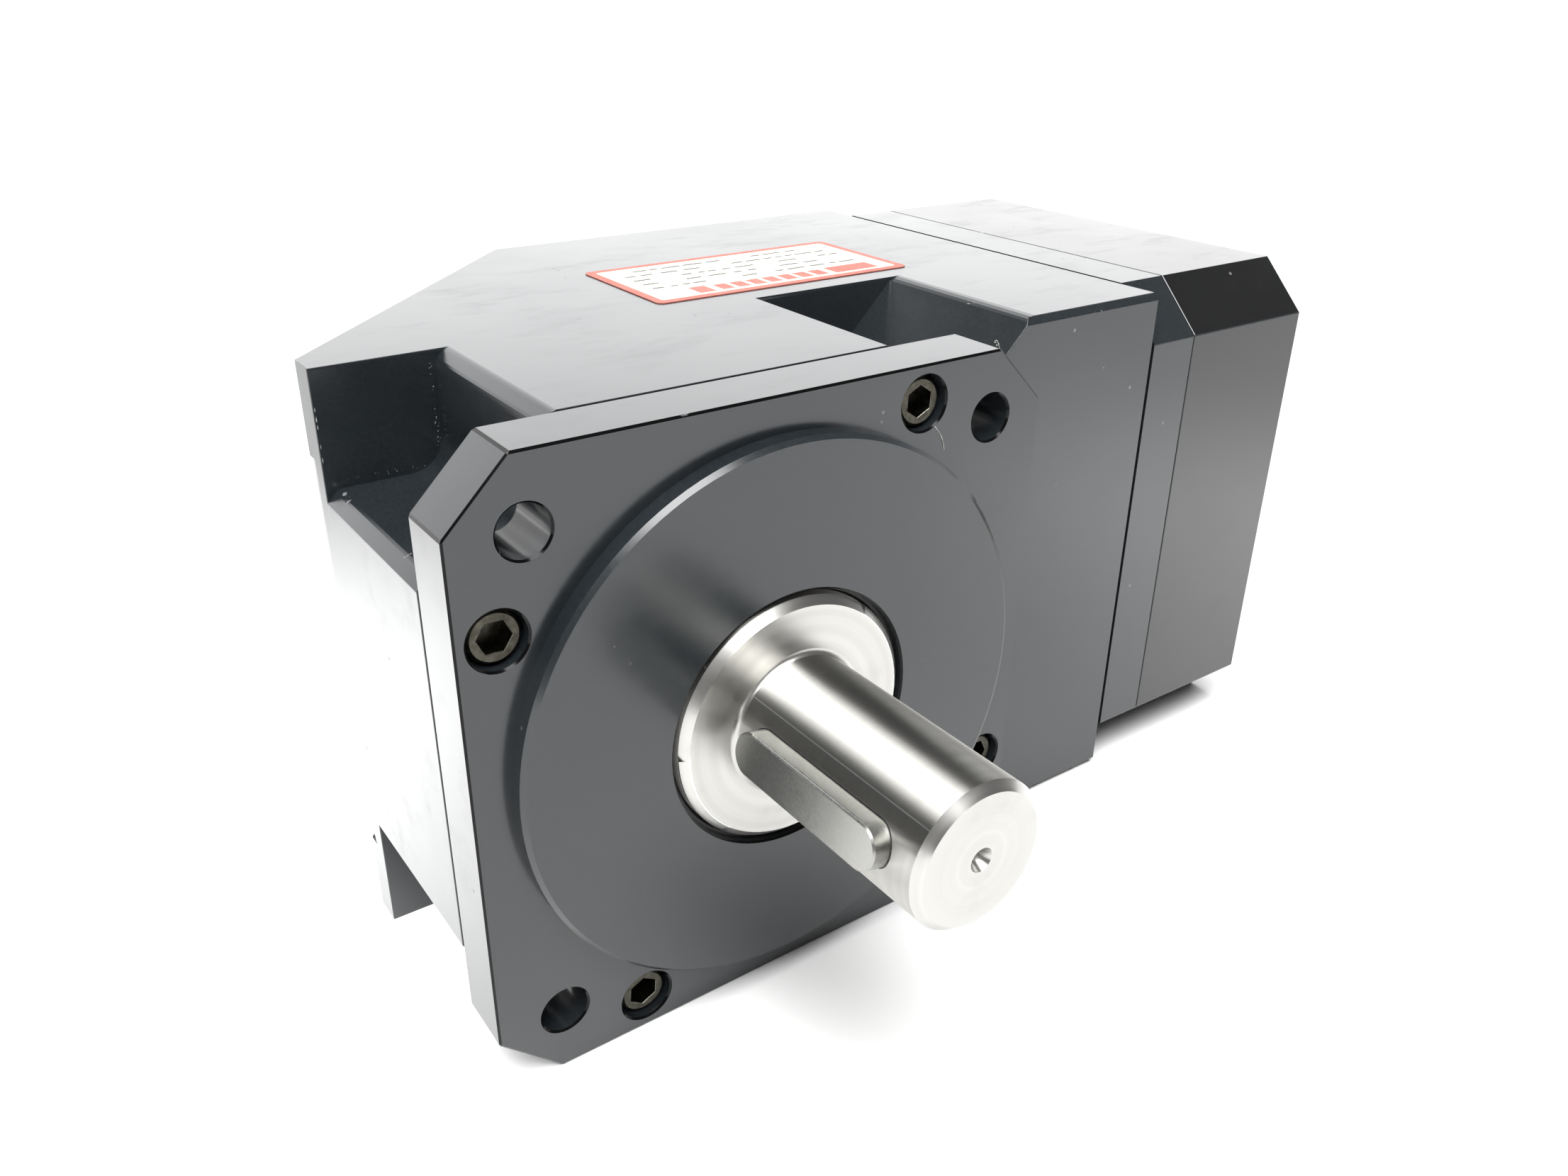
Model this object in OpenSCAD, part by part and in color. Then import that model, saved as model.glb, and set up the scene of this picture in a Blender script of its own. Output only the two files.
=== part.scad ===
// Right-angle planetary gearbox, 90 mm frame: flange-mounted keyed output shaft along -Y,
// servo-motor clamp input along +X, bevel stage 2:1 followed by a planetary stage 5:1.
// Origin: centre of the mounting face on the output axis. +Z is up, the motor side is +X.

/* [Output flange] */
// Side of the square output flange, also the height of the whole gearbox
frame_side = 90; // [88:0.5:92]
// Thickness of the flange plate
flange_t = 9.5; // [9:0.5:10]
// Leg of the 45 degree corner cuts of the flange
flange_corner = 8.55; // [6:0.05:9]
// Bolt circle of the four mounting holes
bolt_circle_d = 100; // [98:0.5:102]
// Diameter of the four mounting holes
mount_hole_d = 6.8; // [6:0.1:7]
// Diameter of the centring pilot
pilot_d = 80; // [79:0.5:81]
// Height of the pilot over the mounting face
pilot_h = 3; // [2.5:0.25:3.5]
// Bolt circle of the four flange screws
screw_circle_d = 91.5; // [91:0.1:92]
// Angle of the first flange screw from +X
screw_angle = 60; // [59:0.5:61]

/* [Output shaft] */
// Diameter of the keyed output shaft
shaft_d = 20; // [19:0.5:20]
// Length of the shaft in front of its collar
shaft_len = 36; // [34:0.5:40]
// Diameter of the collar that the seal runs on
collar_d = 36.3; // [36:0.1:36.5]
// How far the collar stands in front of the pilot
collar_stand = 0.7; // [0.5:0.1:1.5]
// Width and height of the parallel key
key_w = 6; // [5:0.5:6]
// Length of the parallel key, with its round ends
key_len = 28; // [24:1:28]
// Direction of the key around the output axis, from +X towards +Z
key_angle = 168.7; // [0:0.1:360]

/* [Housing] */
// Distance from the output axis to the motor-side end of the housing
housing_x = 80.9; // [79:0.1:82]
// Distance from the mounting face to the rear wall
housing_y = 98.5; // [98:0.5:100]
// Leg of the large 45 degree cut at the rear left
rear_cut = 51.4; // [49:0.1:52]
// Distance from the mounting face to the rear wall of the bolt recesses
recess_y = 42; // [40:0.5:43]
// Distance from the output axis to the floor and inner wall of the bolt recesses
recess_in = 28.2; // [28:0.1:29]

/* [Motor side] */
// Thickness of the intermediate input plate
plate_t = 10.6; // [10.2:0.1:11]
// Distance from the output axis to the motor face
motor_face_x = 120.8; // [119:0.1:124]
// Leg of the 45 degree cuts along the input plate and the motor adapter
adapter_corner = 8.5; // [6:0.1:9]
// Diameter of the pilot recess for the motor
motor_pilot_d = 70; // [68:0.5:72]
// Depth of the pilot recess for the motor
motor_pilot_depth = 5; // [4:0.5:5]
// Bolt circle of the motor's four screws
motor_bolt_circle_d = 90; // [89:0.5:91]
// Bore of the clamp hub for the motor shaft
motor_bore_d = 19; // [18.5:0.5:19]

/* [Gears] */
// Module of the planetary stage
planet_module = 1.25; // [1.25]
// Teeth of the sun gear
sun_teeth = 12; // [12]
// Teeth of each planet gear
planet_teeth = 18; // [18]
// Module of the bevel stage
bevel_module = 1.5; // [1.5]
// Teeth of the bevel pinion
pinion_teeth = 14; // [14]
// Teeth of the bevel gear
bevel_teeth = 28; // [28]
// Backlash of each pair of teeth at the pitch line
backlash = 0.14; // [0.1:0.01:0.2]

/* [Rating label] */
// Length of the rating label
label_len = 49.6; // [40:0.1:52]
// Width of the rating label
label_w = 25; // [18:0.1:26]

/* [Hidden] */
$fn = 96;
eps = 0.01;
joint_gap = 0.35;            // relief beside each visible joint line
edge_relief = 1;             // depth of that relief from the outside
half = frame_side / 2;
input_y = (flange_t + housing_y) / 2;
depth_y = housing_y - flange_t;
pressure_angle = 25;

// stations along the output axis, measured from the mounting face
collar_y = -pilot_h - collar_stand;
shaft_end_y = collar_y - shaft_len;
seal_y = -1.5;
seal_w = 7;
front_brg_y = seal_y + seal_w;
spigot_y = 17.5;
carrier_y = 17.8;
planet_y = 21.8;
planet_w = 11;
web_y = 33.3;
ring_y1 = 34;
rear_brg_y = 34.6;
chamber_y = 41.6;
bevel_room_y = 64.5;
bevel_room_y1 = 68;
sun_brg_y = 36.3;
bevel_back_y = 67.3;
gear_brg_y = 69.3;
sun_shaft_end_y = 74.8;

// stations along the input axis, measured from the output axis
pinion_spigot_x = 16;
pinion_back_x = 22.8;
pinion_brg_1_x = 30;
pinion_brg_2_x = 57;
circlip_t = 1.5;
input_seal_x = 71;
input_spigot_x = 78.5;
hub_x = 79.2;
hub_end_x = 113;
clamp_x = 100;
clamp_w = 12;
plate_x1 = housing_x + plate_t;

// radii
seal_bore_r = 19;
seal_r = 25;
housing_bore_r = 34;
chamber_r = 23;
carrier_r = 26.5;
pillar_r = 4.5;
pillar_at = 21.5;
pin_r = 3;
needle_r = 1;
needle_count = 11;
sun_shaft_r = 7.5;
journal_r = 10;
shoulder_r = 11;
pinion_bore_r = 4;
pinion_room_r = 12.6;
hub_r = 17;
clamp_r = 24.5;
clamp_screw_at = 20.6;
plate_bore_r = 19.5;
adapter_bore_r = 28;
access_r = 5;
fit_gap = 0.05;
blank_seam = -25;            // turns the start of the turned faces away from the key seat

// o-rings: [radius of the groove's open side, groove depth, groove width]
flange_groove = [housing_bore_r, 1.6, 1.8];
input_groove = [25.8, 1.2, 1.8];
flange_groove_y = 13;

// planetary stage
planet_count = 3;
ring_teeth = sun_teeth + 2 * planet_teeth;
planet_at = planet_module * (sun_teeth + planet_teeth) / 2;
planet_bore_r = pin_r + 2 * needle_r;
first_planet = 90;

// bevel stage, with the apex of both cones where the two axes cross
pinion_cone = atan(pinion_teeth / bevel_teeth);
bevel_cone = 90 - pinion_cone;
cone_len = bevel_module * sqrt(pinion_teeth * pinion_teeth + bevel_teeth * bevel_teeth) / 2;
tooth_face = 7;

// ball bearings: [bore radius, outer radius, width, ball radius, ball count]
front_brg = [20, 31, 12, 3.2, 16];
rear_brg = [22.5, 29, 7, 1.9, 24];
small_brg = [sun_shaft_r, 12, 5, 1.3, 12];
pinion_brg = [journal_r, 18.5, 9, 2.4, 11];
input_brg = [journal_r, 21, 12, 3.2, 9];

// flange screws and the like: [shank radius, head radius, head height, socket across flats]
cap_screw = [2.5, 3.5, 5, 3.9];
screw_sink = 1.1;
counterbore_r = 3.85;
thread_depth = 12;
plate_screw_at = 36;
plate_screw_angle = -15;
plate_screw_sink = 0.5;
adapter_screw_sink = 12;
clamp_cap_screw = [2, 3.5, 4, 3];
clamp_head_y = 11;

// ---- placing ----

// local +Z becomes +Y from the station y, local X stays X, local Y becomes -Z
module along_y(y) {
  translate([0, y, 0]) rotate([-90, 0, 0]) children();
}

// local +Z becomes +X from the station x on the input axis, local Y stays Y
module along_x(x) {
  translate([x, input_y, 0]) rotate([0, 90, 0]) children();
}

module quarter_turns(r, a) {
  for (k = [0:3]) rotate(a + 90 * k) translate([r, 0, 0]) children();
}

// ---- plain shapes ----

module tube(r_out, r_in, h) {
  difference() {
    cylinder(r = r_out, h = h);
    translate([0, 0, -eps]) cylinder(r = r_in, h = h + 2 * eps);
  }
}

module cut_square(w, h, c) {
  polygon([
    [-w / 2 + c, -h / 2], [w / 2 - c, -h / 2], [w / 2, -h / 2 + c], [w / 2, h / 2 - c],
    [w / 2 - c, h / 2], [-w / 2 + c, h / 2], [-w / 2, h / 2 - c], [-w / 2, -h / 2 + c]
  ]);
}

module slot_outline(len, w) {
  translate([-len / 2 + w / 2, 0]) circle(d = w);
  translate([len / 2 - w / 2, 0]) circle(d = w);
  square([len - w, w], center = true);
}

// socket head cap screw with the top of its head at z = 0 and its tip at z = len
module socket_screw(s, len) {
  chamfer = 0.45;
  difference() {
    union() {
      cylinder(r1 = s[1] - chamfer, r2 = s[1], h = chamfer);
      translate([0, 0, chamfer]) cylinder(r = s[1], h = s[2] - chamfer);
      translate([0, 0, s[2] - eps]) cylinder(r = s[0], h = len - s[2] - s[0] / 3);
      translate([0, 0, len - s[0] / 3 - 2 * eps]) cylinder(r1 = s[0], r2 = s[0] * 0.7, h = s[0] / 3);
    }
    translate([0, 0, -eps]) rotate(4) cylinder(r = s[3] / 2 / cos(30), h = s[2] * 0.6, $fn = 6);
  }
}

// the hole that such a screw sits in, with its head sunk by sink
module screw_hole(s, sink, bore_r, depth) {
  translate([0, 0, -eps]) cylinder(r = bore_r, h = sink + s[2] + eps);
  cylinder(r = s[0], h = depth);
}

// pressed flat into its groove, with the groove's open side at radius g[0] and its floor inwards
module flange_ring(g) {
  rotate_extrude() translate([g[0] - g[1] / 2, 0]) circle(r = g[1] / 2 - eps, $fn = 32);
}

// lies in a groove that is cut into a flat face, with the groove's outer wall at radius g[0]
module face_ring(g) {
  rotate_extrude() translate([g[0] - g[2] / 2, g[1] / 2]) circle(r = g[1] / 2 - eps, $fn = 32);
}

// ---- ball bearings, from z = 0 to z = width ----

function race_r(b) = (b[0] + b[1]) / 2;
function land(b) = b[3] * 0.45;

module race(b) {
  translate([0, 0, b[2] / 2]) rotate_extrude() translate([race_r(b), 0]) circle(r = b[3] + 0.04);
}

module bearing_outer(b) {
  difference() {
    tube(b[1], race_r(b) + land(b), b[2]);
    race(b);
  }
}

module bearing_inner(b) {
  difference() {
    tube(race_r(b) - land(b), b[0], b[2]);
    race(b);
  }
}

module ball_ring(b, r) {
  translate([0, 0, b[2] / 2])
    for (k = [0:b[4] - 1]) rotate(k * 360 / b[4]) translate([race_r(b), 0, 0]) sphere(r = r, $fn = 48);
}

module bearing_balls(b) {
  cage_w = 2 * b[3] + 1;
  ball_ring(b, b[3]);
  difference() {
    translate([0, 0, (b[2] - cage_w) / 2])
      tube(race_r(b) + land(b) / 2, race_r(b) - land(b) / 2, cage_w);
    for (k = [0:b[4] - 1]) rotate(k * 360 / b[4])
      translate([race_r(b) - b[3], 0, b[2] / 2]) rotate([0, 90, 0])
        cylinder(r = b[3] + fit_gap, h = 2 * b[3]);
  }
}

// ---- involute teeth ----

function involute(a) = tan(a) * 180 / PI - a;

// half of the angle that a tooth takes up at radius r, on a gear of pitch radius rp
function half_tooth(rp, z, r, thin) =
  let (base_r = rp * cos(pressure_angle), a = r <= base_r ? 0 : acos(base_r / r))
  90 / z + involute(pressure_angle) - involute(a) - thin / 2 / rp * 180 / PI;

// radii at which a flank has a point, from the root to the tip
function flank_radii(rp, root_r, tip_r) =
  let (base_r = max(rp * cos(pressure_angle), root_r), steps = 4)
  concat(
    root_r < base_r - 0.05 ? [root_r] : [],
    [for (k = [0:steps]) base_r + (tip_r - base_r) * k / steps]
  );

// one tooth as [radius, angle] pairs, up one flank and down the other
function tooth_points(rp, z, root_r, tip_r, thin) =
  let (radii = flank_radii(rp, root_r, tip_r), n = len(radii))
  concat(
    [for (k = [0:n - 1]) [radii[k], -half_tooth(rp, z, radii[k], thin)]],
    [for (k = [n - 1:-1:0]) [radii[k], half_tooth(rp, z, radii[k], thin)]]
  );

module spur_outline(m, z, root_r, tip_r, thin) {
  tooth = tooth_points(m * z / 2, z, root_r, tip_r, thin);
  polygon([
    for (k = [0:z - 1]) for (p = tooth)
      [p[0] * cos(p[1] + k * 360 / z), p[0] * sin(p[1] + k * 360 / z)]
  ]);
}

module external_gear(z, w) {
  rp = planet_module * z / 2;
  linear_extrude(w)
    spur_outline(planet_module, z, rp - 1.25 * planet_module, rp + planet_module, backlash / 2);
}

// straight bevel teeth on a cone whose apex is at the local origin and whose axis is local +Z
module bevel_teeth_body(z, cone) {
  back_r = bevel_module * z / 2 / cos(cone);
  virtual_z = z / cos(cone);
  tooth = tooth_points(
    back_r, virtual_z, back_r - 1.2 * bevel_module, back_r + bevel_module, backlash
  );
  large = [
    for (k = [0:z - 1]) for (p = tooth)
      let (a = p[1] / cos(cone) + k * 360 / z)
      [p[0] * cos(cone) * cos(a), p[0] * cos(cone) * sin(a), cone_len / cos(cone) - p[0] * sin(cone)]
  ];
  n = len(large);
  shrink = 1 - tooth_face / cone_len;
  root_z = cone_len / cos(cone) - tooth[0][0] * sin(cone);
  dish = 0.3;
  centres = [[0, 0, root_z - dish], [0, 0, root_z * shrink + dish]];
  polyhedron(
    points = concat(large, shrink * large, centres),
    faces = concat(
      [for (k = [0:n - 1]) [k, (k + 1) % n, n + (k + 1) % n, n + k]],
      [for (k = [0:n - 1]) [2 * n, (k + 1) % n, k]],
      [for (k = [0:n - 1]) [2 * n + 1, n + k, n + (k + 1) % n]]
    )
  );
}

// ---- fixed pieces ----

module left_recess() {
  round_r = 5;
  lip = 1.7;
  side = half - recess_in;
  translate([-half, recess_y, recess_in]) rotate([90, 0, 0])
    linear_extrude(recess_y) {
      difference() {
        translate([-1, 0]) square([side + 1, side + 1]);
        translate([side - round_r, 0]) difference() {
          translate([0, -1]) square([round_r + 1, round_r + 1]);
          translate([0, round_r]) circle(r = round_r);
        }
      }
      polygon([[side - eps, side - lip], [side + lip + 1, side + 1], [side - eps, side + 1]]);
      polygon([[-1, -lip - 1], [lip, eps], [-1, eps]]);
    }
}

module right_recess() {
  round_r = 5;
  lip = 3.8;
  slope_x = 7;
  translate([0, recess_y, 0]) rotate([90, 0, 0])
    linear_extrude(recess_y)
      difference() {
        polygon([
          [recess_in - lip - 1, half + 1], [recess_in, half - lip], [recess_in, recess_in],
          [recess_in + slope_x, recess_in], [half + slope_x + 1, half + 1]
        ]);
        difference() {
          translate([recess_in - 1, recess_in - 1]) square(round_r + 1);
          translate([recess_in + round_r, recess_in + round_r]) circle(r = round_r);
        }
      }
}

// prism along +X that bevels the top edge at the station y, where the body lies at y * side and more
module edge_bevel(y, side, leg) {
  rotate([90, 0, 90]) linear_extrude(housing_x + 1)
    polygon([
      [y + side * 2 * leg, half + leg], [y - side * leg, half - 2 * leg], [y - side * leg, half + leg]
    ]);
}

module housing_block() {
  corner_y = housing_y - rear_cut;
  cut_x = -half + rear_cut;
  soft_r = 6;
  soft_z = 31.8;
  soft_reach = soft_r * tan(22.5);
  edge = 1;
  difference() {
    translate([0, 0, -half]) linear_extrude(2 * half)
      polygon([
        [-half, flange_t], [housing_x, flange_t], [housing_x, housing_y],
        [cut_x, housing_y], [-half, corner_y]
      ]);
    // softened edge between the left wall and the rear cut
    translate([-half + soft_r, corner_y - soft_reach, -soft_z]) linear_extrude(2 * soft_z)
      difference() {
        polygon([[0, 0], [-soft_r - 2, 0], [-soft_r - 2, soft_r], [-soft_r, soft_r]]);
        circle(r = soft_r);
      }
    // long edges at the front and at the rear
    for (m = [0, 1]) mirror([0, 0, m]) {
      edge_bevel(housing_y, -1, edge);
      translate([half, 0, 0]) edge_bevel(flange_t, 1, edge);
    }
  }
}

// shallow groove in the outer skin beside a joint, for a prism of side w by h along local +Z
module skin_relief(w, h, c, gap) {
  translate([0, 0, -eps]) linear_extrude(gap + eps) difference() {
    square([w + 4, h + 4], center = true);
    cut_square(w - 2 * edge_relief, h - 2 * edge_relief, c);
  }
}

module housing() {
  color("#2b2b2e")
    difference() {
      housing_block();
      left_recess();
      mirror([0, 0, 1]) left_recess();
      right_recess();
      mirror([0, 0, 1]) right_recess();
      // joint line behind the flange
      along_y(flange_t) linear_extrude(joint_gap) difference() {
        translate([-half - 1, -half - 1]) square([2 * half + 1, 2 * half + 2]);
        translate([-half + edge_relief, -half + edge_relief])
          square([2 * half, 2 * (half - edge_relief)]);
      }
      // joint line at the input plate
      along_x(housing_x) mirror([0, 0, 1]) skin_relief(frame_side, depth_y, 1, joint_gap);
      // chambers along the output axis
      rotate([-90, 0, 0]) rotate_extrude()
        polygon([
          [0, flange_t - 1], [housing_bore_r, flange_t - 1], [housing_bore_r, ring_y1],
          [rear_brg[1], ring_y1], [rear_brg[1], chamber_y], [chamber_r, chamber_y],
          [chamber_r, bevel_room_y], [chamber_r + bevel_room_y - bevel_room_y1, bevel_room_y1],
          [small_brg[1], bevel_room_y1], [small_brg[1], gear_brg_y + small_brg[2]],
          [sun_shaft_r + 2.5, gear_brg_y + small_brg[2]], [sun_shaft_r + 2.5, sun_shaft_end_y + 0.5],
          [0, sun_shaft_end_y + 0.5]
        ]);
      // bore along the input axis
      along_x(0) cylinder(r = pinion_room_r, h = pinion_back_x);
      along_x(pinion_back_x - 1)
        cylinder(r = shoulder_r + 0.5, h = pinion_brg_1_x - pinion_back_x + 2);
      along_x(pinion_brg_1_x) cylinder(r = pinion_brg[1], h = pinion_brg[2] + 2);
      along_x(pinion_brg_1_x + pinion_brg[2] + 1) cylinder(r = input_brg[1], h = housing_x);
      // groove of the circlip
      along_x(pinion_brg_2_x + input_brg[2]) cylinder(r = input_brg[1] + 1, h = circlip_t);
      // threaded holes for the flange and the input plate
      along_y(flange_t) quarter_turns(screw_circle_d / 2, -screw_angle)
        cylinder(r = cap_screw[0], h = thread_depth);
      along_x(housing_x - thread_depth) quarter_turns(plate_screw_at, plate_screw_angle)
        cylinder(r = cap_screw[0], h = thread_depth + 1);
    }
}

module output_flange() {
  chamfer = 0.6;
  color("#303034")
    difference() {
      union() {
        along_y(0) linear_extrude(flange_t) cut_square(frame_side, frame_side, flange_corner);
        along_y(-pilot_h) cylinder(r1 = pilot_d / 2 - chamfer, r2 = pilot_d / 2, h = chamfer);
        along_y(-pilot_h + chamfer) cylinder(d = pilot_d, h = pilot_h);
        along_y(flange_t - eps) cylinder(r = housing_bore_r, h = spigot_y - flange_t + eps);
      }
      along_y(-pilot_h - 1) cylinder(r = seal_bore_r, h = pilot_h + 3);
      along_y(seal_y) cylinder(r = seal_r, h = seal_w + 1);
      along_y(front_brg_y) cylinder(r = front_brg[1], h = 20);
      along_y(flange_groove_y)
        tube(flange_groove[0] + 1, flange_groove[0] - flange_groove[1], flange_groove[2]);
      along_y(0) quarter_turns(bolt_circle_d / 2, 45) translate([0, 0, -1])
        cylinder(d = mount_hole_d, h = flange_t + 2);
      along_y(0) quarter_turns(screw_circle_d / 2, -screw_angle)
        screw_hole(cap_screw, screw_sink, counterbore_r, flange_t + 1);
    }
}

module ring_gear() {
  rp = planet_module * ring_teeth / 2;
  color("#8d8f93")
    along_y(spigot_y) difference() {
      cylinder(r = housing_bore_r, h = ring_y1 - spigot_y);
      translate([0, 0, -1]) rotate(first_planet + 180 / ring_teeth) linear_extrude(30)
        spur_outline(
          planet_module, ring_teeth, rp - planet_module, rp + 1.25 * planet_module, -backlash / 2
        );
    }
}

module output_seal() {
  lip_r = collar_d / 2 + fit_gap;
  color("#141414")
    rotate([-90, 0, 0]) rotate_extrude()
      polygon([
        [lip_r + 0.35, seal_y], [seal_r, seal_y], [seal_r, front_brg_y], [seal_r - 1.5, front_brg_y],
        [seal_r - 1.5, seal_y + 1.5], [lip_r + 2.5, seal_y + 1.5], [lip_r + 2, seal_y + 5],
        [lip_r + 0.6, seal_y + 4.5], [lip_r, seal_y + 3.6], [lip_r + 0.8, seal_y + 2],
        [lip_r, seal_y + 0.5]
      ]);
}

module flange_o_ring() {
  color("#141414") along_y(flange_groove_y + flange_groove[2] / 2) flange_ring(flange_groove);
}

module flange_screws() {
  color("#5b5a55")
    along_y(screw_sink) quarter_turns(screw_circle_d / 2, -screw_angle) rotate(screw_angle - 90)
      socket_screw(cap_screw, 19);
}

module plate_blank(t) {
  linear_extrude(t) cut_square(frame_side, depth_y, adapter_corner);
}

module input_plate() {
  color("#2b2b2e")
    difference() {
      union() {
        along_x(housing_x) plate_blank(plate_t);
        along_x(input_spigot_x) cylinder(r = input_brg[1] - 0.02, h = 3);
      }
      along_x(input_spigot_x - 1) cylinder(r = plate_bore_r, h = 20);
      along_x(housing_x) skin_relief(frame_side, depth_y, adapter_corner, joint_gap);
      along_x(housing_x) translate([0, 0, -eps])
        tube(input_groove[0], input_groove[0] - input_groove[2], input_groove[1]);
      along_x(plate_x1) mirror([0, 0, 1]) {
        skin_relief(frame_side, depth_y, adapter_corner, joint_gap / 3);
        quarter_turns(plate_screw_at, plate_screw_angle)
          screw_hole(cap_screw, plate_screw_sink, counterbore_r, 20);
        quarter_turns(screw_circle_d / 2, -screw_angle) cylinder(r = cap_screw[0], h = 9);
      }
    }
}

module input_o_ring() {
  color("#141414") along_x(housing_x) face_ring(input_groove);
}

module plate_screws() {
  color("#5b5a55")
    along_x(plate_x1 - plate_screw_sink) mirror([0, 0, 1])
      quarter_turns(plate_screw_at, plate_screw_angle) socket_screw(cap_screw, 19);
}

module motor_adapter() {
  len = motor_face_x - plate_x1;
  motor_screw_r = 2.5;
  color("#2b2b2e")
    difference() {
      along_x(plate_x1) plate_blank(len);
      along_x(plate_x1 - 1) cylinder(r = adapter_bore_r, h = len + 2);
      along_x(motor_face_x - motor_pilot_depth) cylinder(d = motor_pilot_d, h = motor_pilot_depth + 1);
      along_x(motor_face_x) mirror([0, 0, 1]) {
        quarter_turns(motor_bolt_circle_d / 2, 45) translate([0, 0, -1])
          cylinder(r = motor_screw_r, h = 16);
        quarter_turns(screw_circle_d / 2, -screw_angle)
          screw_hole(cap_screw, adapter_screw_sink, counterbore_r, len + 1);
      }
      on_clamp_screw(0) cylinder(r = access_r, h = depth_y);
    }
}

module adapter_screws() {
  color("#5b5a55")
    along_x(motor_face_x - adapter_screw_sink) mirror([0, 0, 1])
      quarter_turns(screw_circle_d / 2, -screw_angle) socket_screw(cap_screw, 25);
}

module access_plug() {
  socket_r = 3;
  socket_depth = 4;
  color("#1b1b1b")
    on_clamp_screw(housing_y - input_y) mirror([0, 0, 1])
      difference() {
        cylinder(r = access_r, h = 8);
        translate([0, 0, -eps]) cylinder(r = socket_r, h = socket_depth, $fn = 6);
      }
}

module input_seal() {
  lip_r = journal_r + fit_gap;
  x0 = input_seal_x;
  x1 = input_spigot_x;
  color("#141414")
    along_x(0) rotate_extrude()
      polygon([
        [lip_r + 0.6, x0 + 1], [lip_r + 2, x0 + 0.5], [lip_r + 2.6, x1 - 1.5],
        [input_brg[1] - 1.5, x1 - 1.5], [input_brg[1] - 1.5, x0], [input_brg[1], x0],
        [input_brg[1], x1], [lip_r + 0.5, x1], [lip_r, x1 - 0.5], [lip_r + 0.8, x1 - 2],
        [lip_r, x0 + 2]
      ]);
}

module input_circlip() {
  color("#6d6d6d")
    along_x(pinion_brg_2_x + input_brg[2]) difference() {
      tube(input_brg[1] + 1, input_brg[1] - 2.4, circlip_t);
      translate([0, 0, -1]) linear_extrude(circlip_t + 2)
        polygon([[0, 0], [30, -7], [30, 7]]);
    }
}

module rating_label() {
  centre_x = 34.4;
  centre_y = 59;
  thick = 0.2;
  corner_r = 1.2;
  color("#b5413f")
    translate([centre_x, centre_y, half]) linear_extrude(thick) {
      square([label_len - 2 * corner_r, label_w], center = true);
      square([label_len, label_w - 2 * corner_r], center = true);
      for (x = [-1, 1]) for (y = [-1, 1])
        translate([x * (label_len / 2 - corner_r), y * (label_w / 2 - corner_r)]) circle(r = corner_r);
    }
}

// ---- output shaft with its carrier, and what rides on it ----

module carrier_blank() {
  shaft_r = shaft_d / 2;
  collar_r = collar_d / 2;
  tip = 1.1;
  bevel = 1.1;
  fillet = 0.8;
  shoulder = 23;
  rotate([-90, 0, 0]) rotate(blank_seam) rotate_extrude()
    polygon(concat(
      [[0, shaft_end_y], [shaft_r - tip, shaft_end_y], [shaft_r, shaft_end_y + tip]],
      [for (k = [0:5]) [
        shaft_r + fillet * (1 - cos(18 * k)), collar_y - fillet * (1 - sin(18 * k))
      ]],
      [
        [collar_r - bevel, collar_y], [collar_r, collar_y + bevel], [collar_r, front_brg_y],
        [front_brg[0], front_brg_y], [front_brg[0], spigot_y], [shoulder, spigot_y], [shoulder, carrier_y],
        [carrier_r, carrier_y], [carrier_r, planet_y - 0.5], [0, planet_y - 0.5]
      ]
    ));
}

// holes or pins of the planets
module at_planet_pins() {
  along_y(carrier_y + 1) for (k = [0:planet_count - 1])
    rotate(first_planet + 120 * k) translate([planet_at, 0, 0]) cylinder(r = pin_r, h = 21.5);
}

module output_carrier() {
  front_web = planet_y - 0.5;
  sun_room_r = sun_shaft_r + 2;
  centre_r = 1.65;
  centre_drill_r = 0.8;
  color("#c9cacb")
    difference() {
      union() {
        carrier_blank();
        along_y(front_web - eps) for (k = [0:planet_count - 1])
          rotate(first_planet + 60 + 120 * k) translate([pillar_at, 0, 0])
            cylinder(r = pillar_r, h = web_y - front_web + 2 * eps);
        along_y(web_y) cylinder(r = carrier_r, h = 1);
        along_y(web_y) cylinder(r = rear_brg[0], h = chamber_y - web_y);
      }
      along_y(web_y - 1) cylinder(r = sun_room_r, h = 20);
      along_y(sun_brg_y) cylinder(r = small_brg[1], h = 20);
      at_planet_pins();
      on_key_seat() linear_extrude(key_w + 2) slot_outline(key_len, key_w);
      along_y(shaft_end_y) translate([0, 0, -eps])
        cylinder(r1 = centre_r, r2 = centre_drill_r, h = 1.6);
      along_y(shaft_end_y + 1.5) cylinder(r = centre_drill_r, h = 3);
    }
}

// local origin on the middle of the shaft's key seat, local X along the shaft and local Z outwards
module on_key_seat() {
  key_stand = 2.5;
  key_from_collar = 3.2;
  seat = shaft_d / 2 + key_stand - key_w;
  middle = collar_y - key_from_collar - key_len / 2;
  rotate([0, -key_angle, 0]) translate([seat, middle, 0]) rotate([0, 90, 0]) rotate(90) children();
}

module output_key() {
  chamfer = 0.25;
  r = key_w / 2;
  color("#77787a")
    on_key_seat() {
      linear_extrude(key_w - chamfer) slot_outline(key_len, key_w);
      translate([0, 0, key_w - chamfer]) {
        for (s = [-1, 1]) translate([s * (key_len / 2 - r), 0, 0])
          cylinder(r1 = r, r2 = r - chamfer, h = chamfer);
        translate([r - key_len / 2, 0, 0]) rotate([90, 0, 90]) linear_extrude(key_len - key_w)
          polygon([[-r, 0], [r, 0], [r - chamfer, chamfer], [chamfer - r, chamfer]]);
      }
    }
}

module planet_pins() {
  color("#b4b6b8") at_planet_pins();
}

module at_planet(k) {
  along_y(planet_y) rotate(first_planet + 120 * k) translate([planet_at, 0, 0])
    rotate(-first_planet - 120 * k) children();
}

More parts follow.
